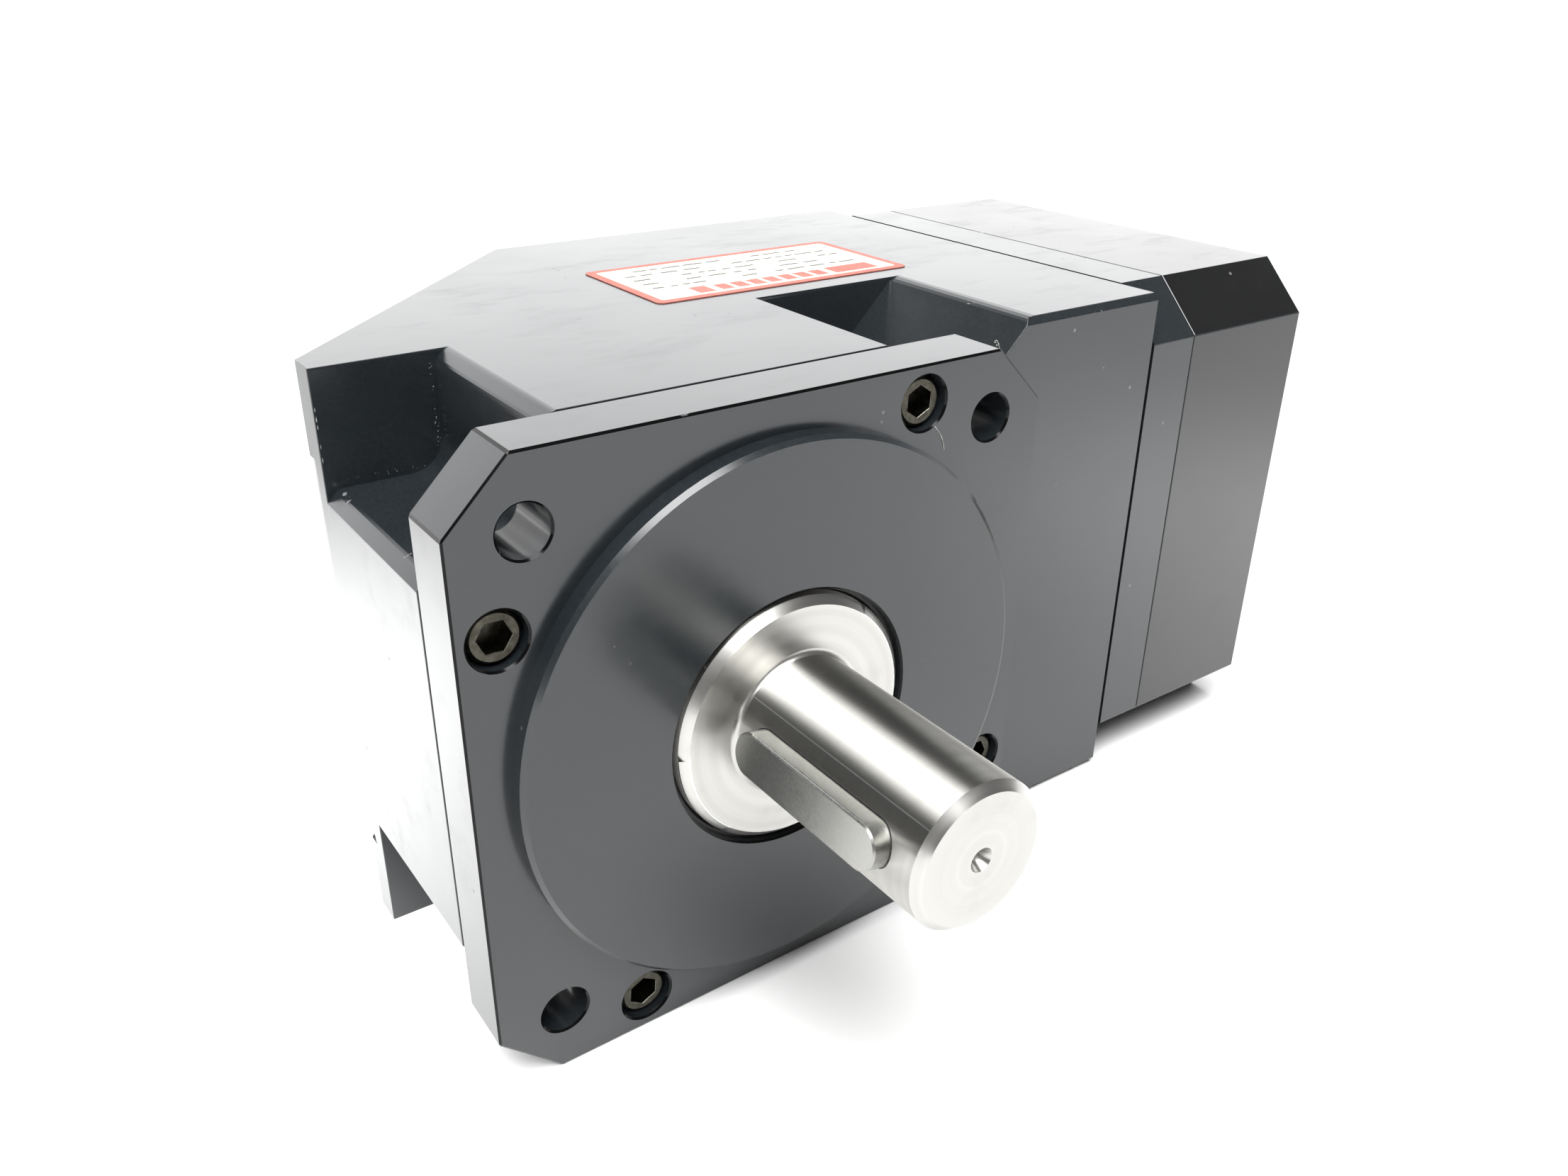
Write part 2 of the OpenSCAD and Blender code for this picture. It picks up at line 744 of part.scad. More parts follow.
module planet_gear(k) {
  a = first_planet + 120 * k;
  color("#9a9c9f")
    at_planet(k) difference() {
      rotate(a * (1 + sun_teeth / planet_teeth) + 180 - 180 / planet_teeth)
        external_gear(planet_teeth, planet_w);
      translate([0, 0, -1]) cylinder(r = planet_bore_r, h = planet_w + 2);
    }
}

module needles(k) {
  roll = needle_r - 0.03;
  color("#d8d9da")
    at_planet(k) for (j = [0:needle_count - 1])
      rotate(360 * j / needle_count) translate([pin_r + needle_r, 0, 0.5])
        cylinder(r = roll, h = planet_w - 1);
}

module planet_gear_1() { planet_gear(0); }
module planet_gear_2() { planet_gear(1); }
module planet_gear_3() { planet_gear(2); }
module needles_1() { needles(0); }
module needles_2() { needles(1); }
module needles_3() { needles(2); }

// ---- sun shaft with the driven bevel gear ----

module sun_shaft() {
  color("#a9abae") {
    along_y(planet_y) external_gear(sun_teeth, web_y - planet_y);
    along_y(web_y - eps) cylinder(r = sun_shaft_r, h = sun_shaft_end_y - web_y);
  }
}

module bevel_gear() {
  back_r = 19;
  hub_outer_r = 9;
  teeth_end = 11;
  color("#94969a")
    difference() {
      union() {
        along_y(input_y) rotate(180 / bevel_teeth) bevel_teeth_body(bevel_teeth, bevel_cone);
        along_y(input_y + teeth_end) cylinder(r = back_r, h = bevel_back_y - input_y - teeth_end);
        along_y(bevel_back_y - eps) cylinder(r = hub_outer_r, h = gear_brg_y - bevel_back_y);
      }
      along_y(input_y - 5) cylinder(r = sun_shaft_r, h = 30);
    }
}

// ---- input shaft with the bevel pinion, and its clamp ----

module bevel_pinion() {
  color("#94969a")
    difference() {
      along_x(0) rotate(90) bevel_teeth_body(pinion_teeth, pinion_cone);
      along_x(10) cylinder(r = pinion_bore_r, h = 15);
    }
}

module input_shaft() {
  slit = 1.5;
  seat_r = 8.6;
  wall = 1.3;
  color("#b7b9bb")
    difference() {
      union() {
        along_x(pinion_spigot_x) cylinder(r = pinion_bore_r, h = pinion_back_x - pinion_spigot_x + eps);
        along_x(pinion_back_x - 0.9) cylinder(r = seat_r, h = 1);
        along_x(pinion_back_x) cylinder(r = shoulder_r, h = pinion_brg_1_x - pinion_back_x);
        along_x(pinion_brg_1_x - eps) cylinder(r = journal_r, h = hub_x - pinion_brg_1_x + 2 * eps);
        along_x(hub_x) cylinder(r = hub_r, h = hub_end_x - hub_x);
      }
      along_x(hub_x + wall) cylinder(d = motor_bore_d, h = hub_end_x);
      along_x(clamp_x - 2) for (a = [45, 135])
        rotate(a) translate([-hub_r - 1, -slit / 2, 0]) cube([2 * hub_r + 2, slit, hub_end_x]);
    }
}

module bearing_spacer() {
  x0 = pinion_brg_1_x + pinion_brg[2];
  wall = 2.5;
  color("#b9b9b9") along_x(x0) tube(journal_r + wall, journal_r, pinion_brg_2_x - x0);
}

// local +Z runs along +Y through the clamp screw, from y away from the input axis
module on_clamp_screw(y) {
  translate([clamp_x + clamp_w / 2, input_y + y, -clamp_screw_at]) rotate([-90, 0, 0]) children();
}

module clamp_ring() {
  slit = 2;
  head_y = clamp_head_y - clamp_cap_screw[2];
  color("#3a3a3c")
    difference() {
      along_x(clamp_x) tube(clamp_r, hub_r, clamp_w);
      translate([clamp_x - 1, input_y - slit / 2, -clamp_r - 1])
        cube([clamp_w + 2, slit, clamp_r - hub_r + 3]);
      on_clamp_screw(-9) cylinder(r = clamp_cap_screw[0], h = 18);
      on_clamp_screw(head_y) cylinder(r = clamp_cap_screw[1] + 0.1, h = 18);
    }
}

module clamp_screw() {
  color("#5b5a55")
    on_clamp_screw(clamp_head_y) mirror([0, 0, 1]) socket_screw(clamp_cap_screw, 20);
}

// ---- bearings in their places ----

module front_bearing_outer() { color("#bfc0c2") along_y(front_brg_y) bearing_outer(front_brg); }
module front_bearing_inner() { color("#bfc0c2") along_y(front_brg_y) bearing_inner(front_brg); }
module front_bearing_balls() { color("#e0e0e0") along_y(front_brg_y) bearing_balls(front_brg); }
module rear_bearing_outer() { color("#bfc0c2") along_y(rear_brg_y) bearing_outer(rear_brg); }
module rear_bearing_inner() { color("#bfc0c2") along_y(rear_brg_y) bearing_inner(rear_brg); }
module rear_bearing_balls() { color("#e0e0e0") along_y(rear_brg_y) bearing_balls(rear_brg); }
module sun_bearing_outer() { color("#bfc0c2") along_y(sun_brg_y) bearing_outer(small_brg); }
module sun_bearing_inner() { color("#bfc0c2") along_y(sun_brg_y) bearing_inner(small_brg); }
module sun_bearing_balls() { color("#e0e0e0") along_y(sun_brg_y) bearing_balls(small_brg); }
module gear_bearing_outer() { color("#bfc0c2") along_y(gear_brg_y) bearing_outer(small_brg); }
module gear_bearing_inner() { color("#bfc0c2") along_y(gear_brg_y) bearing_inner(small_brg); }
module gear_bearing_balls() { color("#e0e0e0") along_y(gear_brg_y) bearing_balls(small_brg); }
module pinion_bearing_1_outer() { color("#bfc0c2") along_x(pinion_brg_1_x) bearing_outer(pinion_brg); }
module pinion_bearing_1_inner() { color("#bfc0c2") along_x(pinion_brg_1_x) bearing_inner(pinion_brg); }
module pinion_bearing_1_balls() { color("#e0e0e0") along_x(pinion_brg_1_x) bearing_balls(pinion_brg); }
module pinion_bearing_2_outer() { color("#bfc0c2") along_x(pinion_brg_2_x) bearing_outer(input_brg); }
module pinion_bearing_2_inner() { color("#bfc0c2") along_x(pinion_brg_2_x) bearing_inner(input_brg); }
module pinion_bearing_2_balls() { color("#e0e0e0") along_x(pinion_brg_2_x) bearing_balls(input_brg); }

housing();
output_flange();
ring_gear();
output_seal();
flange_o_ring();
flange_screws();
input_plate();
input_o_ring();
plate_screws();
motor_adapter();
adapter_screws();
access_plug();
input_seal();
input_circlip();
rating_label();
output_carrier();
output_key();
planet_pins();
planet_gear_1();
planet_gear_2();
planet_gear_3();
needles_1();
needles_2();
needles_3();
sun_shaft();
bevel_gear();
bevel_pinion();
input_shaft();
bearing_spacer();
clamp_ring();
clamp_screw();
front_bearing_outer();
front_bearing_inner();
front_bearing_balls();
rear_bearing_outer();
rear_bearing_inner();
rear_bearing_balls();
sun_bearing_outer();
sun_bearing_inner();
sun_bearing_balls();
gear_bearing_outer();
gear_bearing_inner();
gear_bearing_balls();
pinion_bearing_1_outer();
pinion_bearing_1_inner();
pinion_bearing_1_balls();
pinion_bearing_2_outer();
pinion_bearing_2_inner();
pinion_bearing_2_balls();
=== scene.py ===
"""Looks of the right-angle planetary gearbox: materials, softened edges, label, dust, studio and camera.

Lengths are in metres in the row frame: the origin is the centre of the mounting face on the output
axis, the output shaft points along -Y, the motor side is +X and +Z is up.
"""

import math
import random

import bmesh
import bpy
from mathutils import Matrix, Vector


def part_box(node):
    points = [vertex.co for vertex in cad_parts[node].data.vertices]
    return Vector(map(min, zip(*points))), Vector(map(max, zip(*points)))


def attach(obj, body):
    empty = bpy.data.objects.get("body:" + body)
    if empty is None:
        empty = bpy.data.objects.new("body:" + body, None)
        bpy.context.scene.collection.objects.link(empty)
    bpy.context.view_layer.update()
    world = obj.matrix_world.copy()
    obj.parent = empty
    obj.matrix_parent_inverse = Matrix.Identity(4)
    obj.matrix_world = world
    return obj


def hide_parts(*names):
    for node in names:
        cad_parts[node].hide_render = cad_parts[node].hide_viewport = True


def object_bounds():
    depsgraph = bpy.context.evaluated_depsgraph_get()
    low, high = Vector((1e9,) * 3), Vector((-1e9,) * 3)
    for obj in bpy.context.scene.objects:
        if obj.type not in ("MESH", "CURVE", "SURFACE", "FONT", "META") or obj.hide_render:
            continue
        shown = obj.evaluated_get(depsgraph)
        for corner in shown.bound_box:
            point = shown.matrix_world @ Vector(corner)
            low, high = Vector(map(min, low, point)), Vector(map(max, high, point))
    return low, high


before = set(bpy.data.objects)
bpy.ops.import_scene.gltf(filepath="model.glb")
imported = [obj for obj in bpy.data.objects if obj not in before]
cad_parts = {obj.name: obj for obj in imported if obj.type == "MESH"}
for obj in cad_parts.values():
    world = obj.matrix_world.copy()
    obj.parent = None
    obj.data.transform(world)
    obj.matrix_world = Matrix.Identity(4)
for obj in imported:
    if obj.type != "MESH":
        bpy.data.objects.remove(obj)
cad_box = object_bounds()

MM = 0.001
MICRON = 0.001 * MM

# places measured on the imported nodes
HOUSING_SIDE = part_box("housing")[1].x  # where the input plate begins
FLANGE_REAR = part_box("output_flange")[1].y
INPUT_Y = sum(corner.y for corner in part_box("input_shaft")) / 2
FLOOR_Z = cad_box[0].z
MIDDLE = (cad_box[0] + cad_box[1]) / 2

# ---------------------------------------------------------------- camera

CAMERA_PLACE = Vector((-87.1, -120.9, 92.6)) * MM
CAMERA_HEADING = math.radians(35.82)  # from +Y towards +X
CAMERA_DIP = math.radians(26.41)  # below the horizon
CAMERA_ROLL = math.radians(0.75)
CAMERA_LENS = 29.14


def make_camera():
    """The camera at the photograph's viewing angle."""
    data = bpy.data.cameras.new("camera")
    data.sensor_width = 36.0
    data.lens = CAMERA_LENS
    data.clip_start = 0.005
    data.clip_end = 100.0
    camera = bpy.data.objects.new("camera", data)
    bpy.context.scene.collection.objects.link(camera)
    level = math.cos(CAMERA_DIP)
    ahead = Vector(
        (math.sin(CAMERA_HEADING) * level, math.cos(CAMERA_HEADING) * level, -math.sin(CAMERA_DIP))
    )
    turn = ahead.to_track_quat("-Z", "Y").to_matrix() @ Matrix.Rotation(CAMERA_ROLL, 3, "Z")
    camera.matrix_world = Matrix.Translation(CAMERA_PLACE) @ turn.to_4x4()
    bpy.context.scene.camera = camera


# ---------------------------------------------------------------- material graph helpers


class Graph:
    """A new node material, with one short method for each kind of node that the materials use."""

    def __init__(self, name):
        self.material = bpy.data.materials.new(name)
        self.material.use_nodes = True
        self.tree = self.material.node_tree
        self.tree.nodes.clear()
        self.out = self.tree.nodes.new("ShaderNodeOutputMaterial")
        self.shader = self.tree.nodes.new("ShaderNodeBsdfPrincipled")
        self.tree.links.new(self.shader.outputs["BSDF"], self.out.inputs["Surface"])
        self.place = self.tree.nodes.new("ShaderNodeTexCoord").outputs["Object"]

    def put(self, socket, value):
        """Links a socket to another node's output, or sets it to a number or colour."""
        if isinstance(value, bpy.types.NodeSocket):
            self.tree.links.new(value, socket)
        elif isinstance(value, (tuple, list)) and len(socket.default_value) == 4:
            socket.default_value = (*value[:3], 1.0)
        else:
            socket.default_value = value

    def set(self, **values):
        """Sets the shader's own inputs, with _ for a space in a name."""
        for name, value in values.items():
            self.put(self.shader.inputs[name.replace("_", " ")], value)

    def math(self, operation, a, b=0.0, clamp=False):
        """One step of arithmetic with outputs or numbers."""
        made = self.tree.nodes.new("ShaderNodeMath")
        made.operation = operation
        made.use_clamp = clamp
        self.put(made.inputs[0], a)
        self.put(made.inputs[1], b)
        return made.outputs[0]

    def stretch(self, scale):
        """The place multiplied by a scale along each axis."""
        made = self.tree.nodes.new("ShaderNodeVectorMath")
        made.operation = "MULTIPLY"
        self.put(made.inputs[0], self.place)
        made.inputs[1].default_value = scale
        return made.outputs[0]

    def split(self):
        """The place's three coordinates."""
        made = self.tree.nodes.new("ShaderNodeSeparateXYZ")
        self.put(made.inputs[0], self.place)
        return made.outputs

    def join(self, x, y, z):
        made = self.tree.nodes.new("ShaderNodeCombineXYZ")
        for socket, value in zip(made.inputs, (x, y, z)):
            self.put(socket, value)
        return made.outputs[0]

    def noise(self, vector, scale, detail=2.0, rough=0.5):
        made = self.tree.nodes.new("ShaderNodeTexNoise")
        self.put(made.inputs["Vector"], vector)
        made.inputs["Scale"].default_value = scale
        made.inputs["Detail"].default_value = detail
        made.inputs["Roughness"].default_value = rough
        return made.outputs["Fac"]

    def cells(self, vector, scale):
        """Distance to the nearest of many scattered points."""
        made = self.tree.nodes.new("ShaderNodeTexVoronoi")
        self.put(made.inputs["Vector"], vector)
        made.inputs["Scale"].default_value = scale
        return made.outputs["Distance"]

    def span(self, value, low, high, to_low=0.0, to_high=1.0, smooth=False):
        """The value's range from low to high, taken to another range and held at its ends."""
        made = self.tree.nodes.new("ShaderNodeMapRange")
        made.interpolation_type = "SMOOTHSTEP" if smooth else "LINEAR"
        self.put(made.inputs["Value"], value)
        for name, number in (
            ("From Min", low),
            ("From Max", high),
            ("To Min", to_low),
            ("To Max", to_high),
        ):
            made.inputs[name].default_value = number
        return made.outputs["Result"]

    def radius(self, x, y):
        """The distance from an axis, from the two coordinates across it."""
        squares = self.math("ADD", self.math("POWER", x, 2.0), self.math("POWER", y, 2.0))
        return self.math("SQRT", squares)

    def mix(self, share, a, b):
        """Colour a where share is 0, and b where it is 1."""
        made = self.tree.nodes.new("ShaderNodeMix")
        made.data_type = "RGBA"
        self.put(made.inputs[0], share)
        self.put(made.inputs[6], a)
        self.put(made.inputs[7], b)
        return made.outputs[2]

    def bump(self, height, depth, before=None):
        """A normal for a height that goes from 0 to 1 over a real depth in metres."""
        made = self.tree.nodes.new("ShaderNodeBump")
        made.inputs["Strength"].default_value = 1.0
        made.inputs["Distance"].default_value = depth
        self.put(made.inputs["Height"], height)
        if before is not None:
            self.put(made.inputs["Normal"], before)
        return made.outputs["Normal"]


# ---------------------------------------------------------------- materials

BLACK = (0.0105, 0.0132, 0.0152)
ADAPTER_BLACK = (0.0035, 0.0037, 0.004)
# painted shade: a near-black for the flange's edge rounding, darker than the anodising, so that the edge
# shows as a dark line
LINE_SHADE_BLACK = (0.002, 0.002, 0.002)
BARE_ALUMINIUM = (0.72, 0.72, 0.73)
DUST = (0.22, 0.22, 0.21)
SCRATCH_WHITE = (1.0, 1.0, 0.98)
STREAK_SCALE = (40.0, 900.0, 900.0)  # the milling lines run along X
SCRATCH_ANGLE = math.radians(138.3)  # around the output axis, from +X towards +Z
LABEL_RED = (0.36, 0.11, 0.085)
LABEL_CREAM = (0.62, 0.59, 0.5)
LABEL_GREY = (0.1, 0.105, 0.1)


def shade(colour, share):
    """The colour multiplied by a share."""
    return tuple(share * c for c in colour)


def anodised(name, black, turned=False):
    """Hard anodised aluminium: semi-gloss black with fine machining lines, smudges and a little dust."""
    g = Graph(name)
    x, y, z = g.split()
    grain = g.noise(g.place, 2600.0, 2.0)
    cloud = g.noise(g.place, 34.0, 3.0, 0.6)
    smear = g.noise(g.stretch((1.0, 2.4, 2.4)), 55.0, 4.0, 0.65)
    if turned:
        lines = g.noise(g.join(g.radius(x, z), 0.0, 0.0), 2400.0, 1.0)
    else:
        lines = g.noise(g.stretch(STREAK_SCALE), 1.0, 2.0)
    specks = g.span(g.cells(g.place, 210.0), 0.075, 0.045)
    few = g.span(g.noise(g.place, 62.0, 2.0), 0.56, 0.66)
    dust = g.math("MULTIPLY", specks, few)
    tone = g.mix(g.span(grain, 0.3, 0.7), shade(black, 0.75), shade(black, 1.3))
    tone = g.mix(g.span(cloud, 0.35, 0.7, 0.0, 0.3), tone, shade(black, 1.6))
    tone = g.mix(g.math("MULTIPLY", dust, 0.55), tone, DUST)
    rough = g.math("ADD", g.span(cloud, 0.3, 0.7, 0.19, 0.24), g.span(smear, 0.52, 0.75, 0.0, 0.06))
    rough = g.math("ADD", rough, g.math("MULTIPLY", dust, 0.3))
    normal = g.bump(grain, 1.6 * MICRON, g.bump(lines, 1.1 * MICRON))
    g.set(Base_Color=tone, Roughness=rough, IOR=1.62, Normal=normal)
    return g.material


def worn_edge(name, tone, rough, ior):
    """The rounding of an anodised edge: mostly black, with a few small chips down to the bare metal."""
    g = Graph(name)
    patches = g.noise(g.place, 95.0, 3.0, 0.7)
    chips = g.noise(g.place, 900.0, 3.0, 0.7)
    bare = g.math("MULTIPLY", g.span(patches, 0.64, 0.7), g.span(chips, 0.56, 0.62), clamp=True)
    g.set(
        Base_Color=g.mix(bare, tone, BARE_ALUMINIUM),
        Metallic=bare,
        Roughness=g.span(bare, 0.0, 1.0, rough, 0.42),
        IOR=ior,
        Normal=g.bump(chips, 3 * MICRON),
    )
    return g.material


def turned_steel(name, light, dark, rough, axis="Y", grind=1.2, spin=0.7, scratch=None):
    """Bright steel turned or ground about the output or input axis, with lines of a depth in microns."""
    g = Graph(name)
    x, y, z = g.split()
    if axis == "Y":
        along, across = y, x
    else:
        across = g.math("SUBTRACT", y, INPUT_Y)
        along = x
    rings = g.join(g.radius(across, z), along, 0.0)
    fine = g.noise(rings, 5200.0, 2.0)
    coarse = g.noise(rings, 700.0, 2.0)
    stain = g.noise(g.place, 120.0, 3.0, 0.6)
    tone = g.mix(g.span(coarse, 0.35, 0.65), light, shade(light, 0.93))
    tone = g.mix(g.span(stain, 0.55, 0.75, 0.0, 0.5), tone, dark)
    if scratch is not None:
        aside = g.math("ABSOLUTE", g.math("SUBTRACT", g.math("ARCTAN2", z, x), scratch))
        tone = g.mix(g.span(aside, 0.006, 0.01, 1.0, 0.0), tone, SCRATCH_WHITE)
    tangent = g.tree.nodes.new("ShaderNodeTangent")
    tangent.direction_type = "RADIAL"
    tangent.axis = axis
    rough = g.span(coarse, 0.3, 0.7, rough - 0.03, rough + 0.03)
    g.set(
        Base_Color=tone,
        Metallic=1.0,
        Roughness=g.math("ADD", rough, g.span(stain, 0.5, 0.75, 0.0, 0.06)),
        Anisotropic=spin,
        Anisotropic_Rotation=0.25,
        Tangent=tangent.outputs[0],
        Normal=g.bump(fine, grind * MICRON),
    )
    return g.material


def plain_steel(name, light, dark, rough, grain_scale=900.0, depth=4.0):
    """Milled, blackened or hardened steel: a mottled skin of a depth in microns, without a direction."""
    g = Graph(name)
    grain = g.noise(g.place, grain_scale, 4.0, 0.65)
    patch = g.noise(g.place, 160.0, 3.0, 0.6)
    tone = g.mix(g.span(grain, 0.32, 0.68), dark, light)
    tone = g.mix(g.span(patch, 0.5, 0.72, 0.0, 0.45), tone, dark)
    rough = g.span(grain, 0.3, 0.7, rough - 0.05, rough + 0.05)
    g.set(
        Base_Color=tone,
        Metallic=1.0,
        Roughness=g.math("ADD", rough, g.span(patch, 0.5, 0.75, 0.0, 0.08)),
        Normal=g.bump(grain, depth * MICRON),
    )
    return g.material


def moulded(name, grain_scale, low, high, smooth, rough, depth):
    """Black rubber or plastic with a moulded grain of a depth in microns, between two greys."""
    g = Graph(name)
    grain = g.noise(g.place, grain_scale, 3.0)
    g.set(
        Base_Color=g.mix(g.span(grain, 0.4, 0.7), (low, low, low), (high, high, high)),
        Roughness=g.span(grain, 0.3, 0.7, smooth, rough),
        Normal=g.bump(grain, depth * MICRON),
    )
    return g.material


def pale_dust(name):
    """Dull pale grains and fibres."""
    g = Graph(name)
    grain = g.noise(g.place, 3000.0, 2.0)
    g.set(
        Base_Color=g.mix(g.span(grain, 0.35, 0.65), (0.22, 0.24, 0.21), (0.45, 0.47, 0.43)),
        Roughness=g.span(grain, 0.3, 0.7, 0.7, 0.9),
    )
    return g.material


def printed_film(name, ink, worn):
    """Printed label film: ink with a slight wear to a paler colour, and an uneven gloss."""
    g = Graph(name)
    wear = g.noise(g.place, 700.0, 4.0, 0.7)
    wave = g.noise(g.place, 90.0, 2.0)
    g.set(
        Base_Color=g.mix(g.span(wear, 0.5, 0.75, 0.0, 0.6), ink, worn),
        Roughness=g.span(wave, 0.3, 0.7, 0.46, 0.56),
        Specular_IOR_Level=0.12,
        Normal=g.bump(wave, 20 * MICRON),
    )
    return g.material


def make_materials():
    """The materials by the short names that the nodes and pieces call them by."""
    return {
        "body": anodised("anodised_black", BLACK),
        "adapter": anodised("anodised_adapter", ADAPTER_BLACK),
        "flange": anodised("anodised_flange", BLACK, turned=True),
        "edge": worn_edge("anodised_edge", BLACK, 0.24, 1.6),
        # painted shade: the flange's edge rounding is near-black and reflects little (IOR 1.25),
        # standing in for the dark reflection that gives its dark line
        "edge_line_shade": worn_edge("flange_edge_shade", LINE_SHADE_BLACK, 0.16, 1.25),
        "ground": turned_steel(
            "ground_steel", (0.47, 0.465, 0.44), (0.36, 0.35, 0.32), 0.4, spin=1.0, scratch=SCRATCH_ANGLE
        ),
        "faced": turned_steel(
            "faced_steel", (0.5, 0.495, 0.475), (0.4, 0.39, 0.37), 0.31, grind=0.5, spin=0.35
        ),
        # painted highlight: the rounded edges of the carrier, key and screws take much brighter copies
        # of their steel, standing in for the light that the edges catch
        "ground_edge_highlight": turned_steel("ground_steel_edge_highlight", (0.8, 0.8, 0.78), (0.7, 0.69, 0.66), 0.2),
        "key": plain_steel("key_steel", (0.36, 0.36, 0.34), (0.3, 0.297, 0.28), 0.34, 2600.0, 1.2),
        # painted highlight on the key's rounded edges
        "key_edge_highlight": plain_steel("key_steel_edge_highlight", (0.8, 0.8, 0.77), (0.74, 0.74, 0.7), 0.3, 2600.0, 0.5),
        "screw": plain_steel("screw_steel", (0.085, 0.082, 0.066), (0.03, 0.028, 0.022), 0.34),
        # painted highlight on the screws' rounded edges
        "screw_edge_highlight": plain_steel("screw_steel_edge_highlight", (0.2, 0.195, 0.165), (0.08, 0.076, 0.06), 0.28),
        "gear": plain_steel("gear_steel", (0.5, 0.5, 0.5), (0.36, 0.36, 0.37), 0.25),
        "input": turned_steel("input_steel", (0.62, 0.62, 0.61), (0.42, 0.41, 0.4), 0.28, axis="X"),
        "bearing": plain_steel("bearing_steel", (0.7, 0.7, 0.71), (0.58, 0.58, 0.6), 0.16),
        "clamp": plain_steel("clamp_steel", (0.1, 0.1, 0.1), (0.05, 0.05, 0.05), 0.4),
        "rubber": moulded("seal_rubber", 2200.0, 0.006, 0.016, 0.42, 0.6, 8.0),
        "plastic": moulded("plug_plastic", 1500.0, 0.008, 0.02, 0.4, 0.55, 10.0),
        "dust": pale_dust("pale_dust"),
        "bare": plain_steel("bare_aluminium", (0.75, 0.76, 0.72), (0.5, 0.52, 0.48), 0.4),
    }


# each node's material and that of its rounded edges; the bearings and gears are told by their names
NODE_MATERIALS = {
    "housing": ("body", "edge"),
    "input_plate": ("body", "edge"),
    "motor_adapter": ("adapter", "edge"),
    # the flange's edges take the painted shade of a dark line
    "output_flange": ("flange", "edge_line_shade"),
    "output_carrier": ("ground", "ground_edge_highlight", "faced"),
    "output_key": ("key", "key_edge_highlight"),
    "flange_screws": ("screw", "screw_edge_highlight"),
    "adapter_screws": ("screw", "screw_edge_highlight"),
    "plate_screws": ("screw", "screw_edge_highlight"),
    "clamp_screw": ("screw", "screw_edge_highlight"),
    "input_shaft": ("input", "input"),
    "clamp_ring": ("clamp", "clamp"),
    "access_plug": ("plastic", "plastic"),
    "output_seal": ("rubber", "rubber"),
    "input_seal": ("rubber", "rubber"),
    "flange_o_ring": ("rubber", "rubber"),
    "input_o_ring": ("rubber", "rubber"),
    "planet_pins": ("bearing", "bearing"),
    "bearing_spacer": ("input", "input"),
    "input_circlip": ("screw", "screw"),
}
FACED_TURN = 0.3  # the carrier's faces that look this far along the output axis are faced, not ground


def node_materials(name):
    if name in NODE_MATERIALS:
        return NODE_MATERIALS[name]
    if "bearing" in name or name.startswith("needles"):
        return "bearing", "bearing"
    return "gear", "gear"


def paint_nodes(materials):
    """Each node gets its material, and a second one for the faces that the bevel makes."""
    for name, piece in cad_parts.items():
        piece.data.materials.clear()
        for key in node_materials(name):
            piece.data.materials.append(materials[key])
    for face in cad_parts["output_carrier"].data.polygons:
        if abs(face.normal.y) > FACED_TURN:
            face.material_index = 2


# width in metres and number of steps of the rounding on the nodes whose edges show
EDGES = {
    "housing": (1.6 * MM, 3),
    "input_plate": (0.18 * MM, 2),
    "motor_adapter": (0.18 * MM, 2),
    "output_flange": (0.28 * MM, 1),
    "output_carrier": (0.08 * MM, 2),
    "output_key": (0.12 * MM, 2),
    "flange_screws": (0.08 * MM, 2),
    "adapter_screws": (0.08 * MM, 2),
    "access_plug": (0.2 * MM, 2),
    "clamp_ring": (0.2 * MM, 2),
    "input_shaft": (0.15 * MM, 2),
}
SHARP_ANGLE = math.radians(28)
FLAT_ANGLE = math.radians(0.5)
LEAST_FACE = 1.5 * MM * MM  # a smaller face takes no rounding
JOINTS = (("y", FLANGE_REAR), ("x", HOUSING_SIDE))
JOINT_NEAR = 0.6 * MM
RECESS_EDGE = 28.2 * MM  # from the output axis to the inner walls of the corner recesses
RECESS_REAR = 42.0 * MM
SLOPE_TOP = 52.0 * MM
LEFT_LIP = 0.4
RIGHT_LIP = 1.0
PLAIN_EDGE = 0.08


def edge_faces(mesh):
    """The polygons on each edge, with the edges keyed by their ends' places in micrometres."""
    at = [tuple(round(c * 1e6) for c in v.co) for v in mesh.vertices]
    found = {}
    for face in mesh.polygons:
        for a, b in face.edge_keys:
            found.setdefault(frozenset((at[a], at[b])), []).append(face.index)
    return at, found


def flat_areas(mesh, found):
    """For each polygon, the area of the flat face that it is a part of."""
    group = list(range(len(mesh.polygons)))

    def top(k):
        while group[k] != k:
            group[k] = group[group[k]]
            k = group[k]
        return k

    for faces in found.values():
        if len(faces) == 2:
            one, other = (mesh.polygons[k].normal for k in faces)
            if one.angle(other, 0.0) < FLAT_ANGLE:
                group[top(faces[0])] = top(faces[1])
    area = {}
    for face in mesh.polygons:
        area[top(face.index)] = area.get(top(face.index), 0.0) + face.area
    return [area[top(k)] for k in range(len(group))]


def turn_angle(mesh, faces):
    one, other = (mesh.polygons[k].normal for k in faces)
    return one.angle(other, 0.0)


def is_outer(mesh, a, faces):
    """Whether the edge at a between two faces is an outer one."""
    one, other = (mesh.polygons[k] for k in faces)
    return one.normal.dot(other.center - a) < 0


def at_joint(a, b):
    """Whether the edge lies along a joint line, where the gap stays crisp."""
    return any(
        abs(getattr(a, axis) - level) < JOINT_NEAR and abs(getattr(b, axis) - level) < JOINT_NEAR
        for axis, level in JOINTS
    )


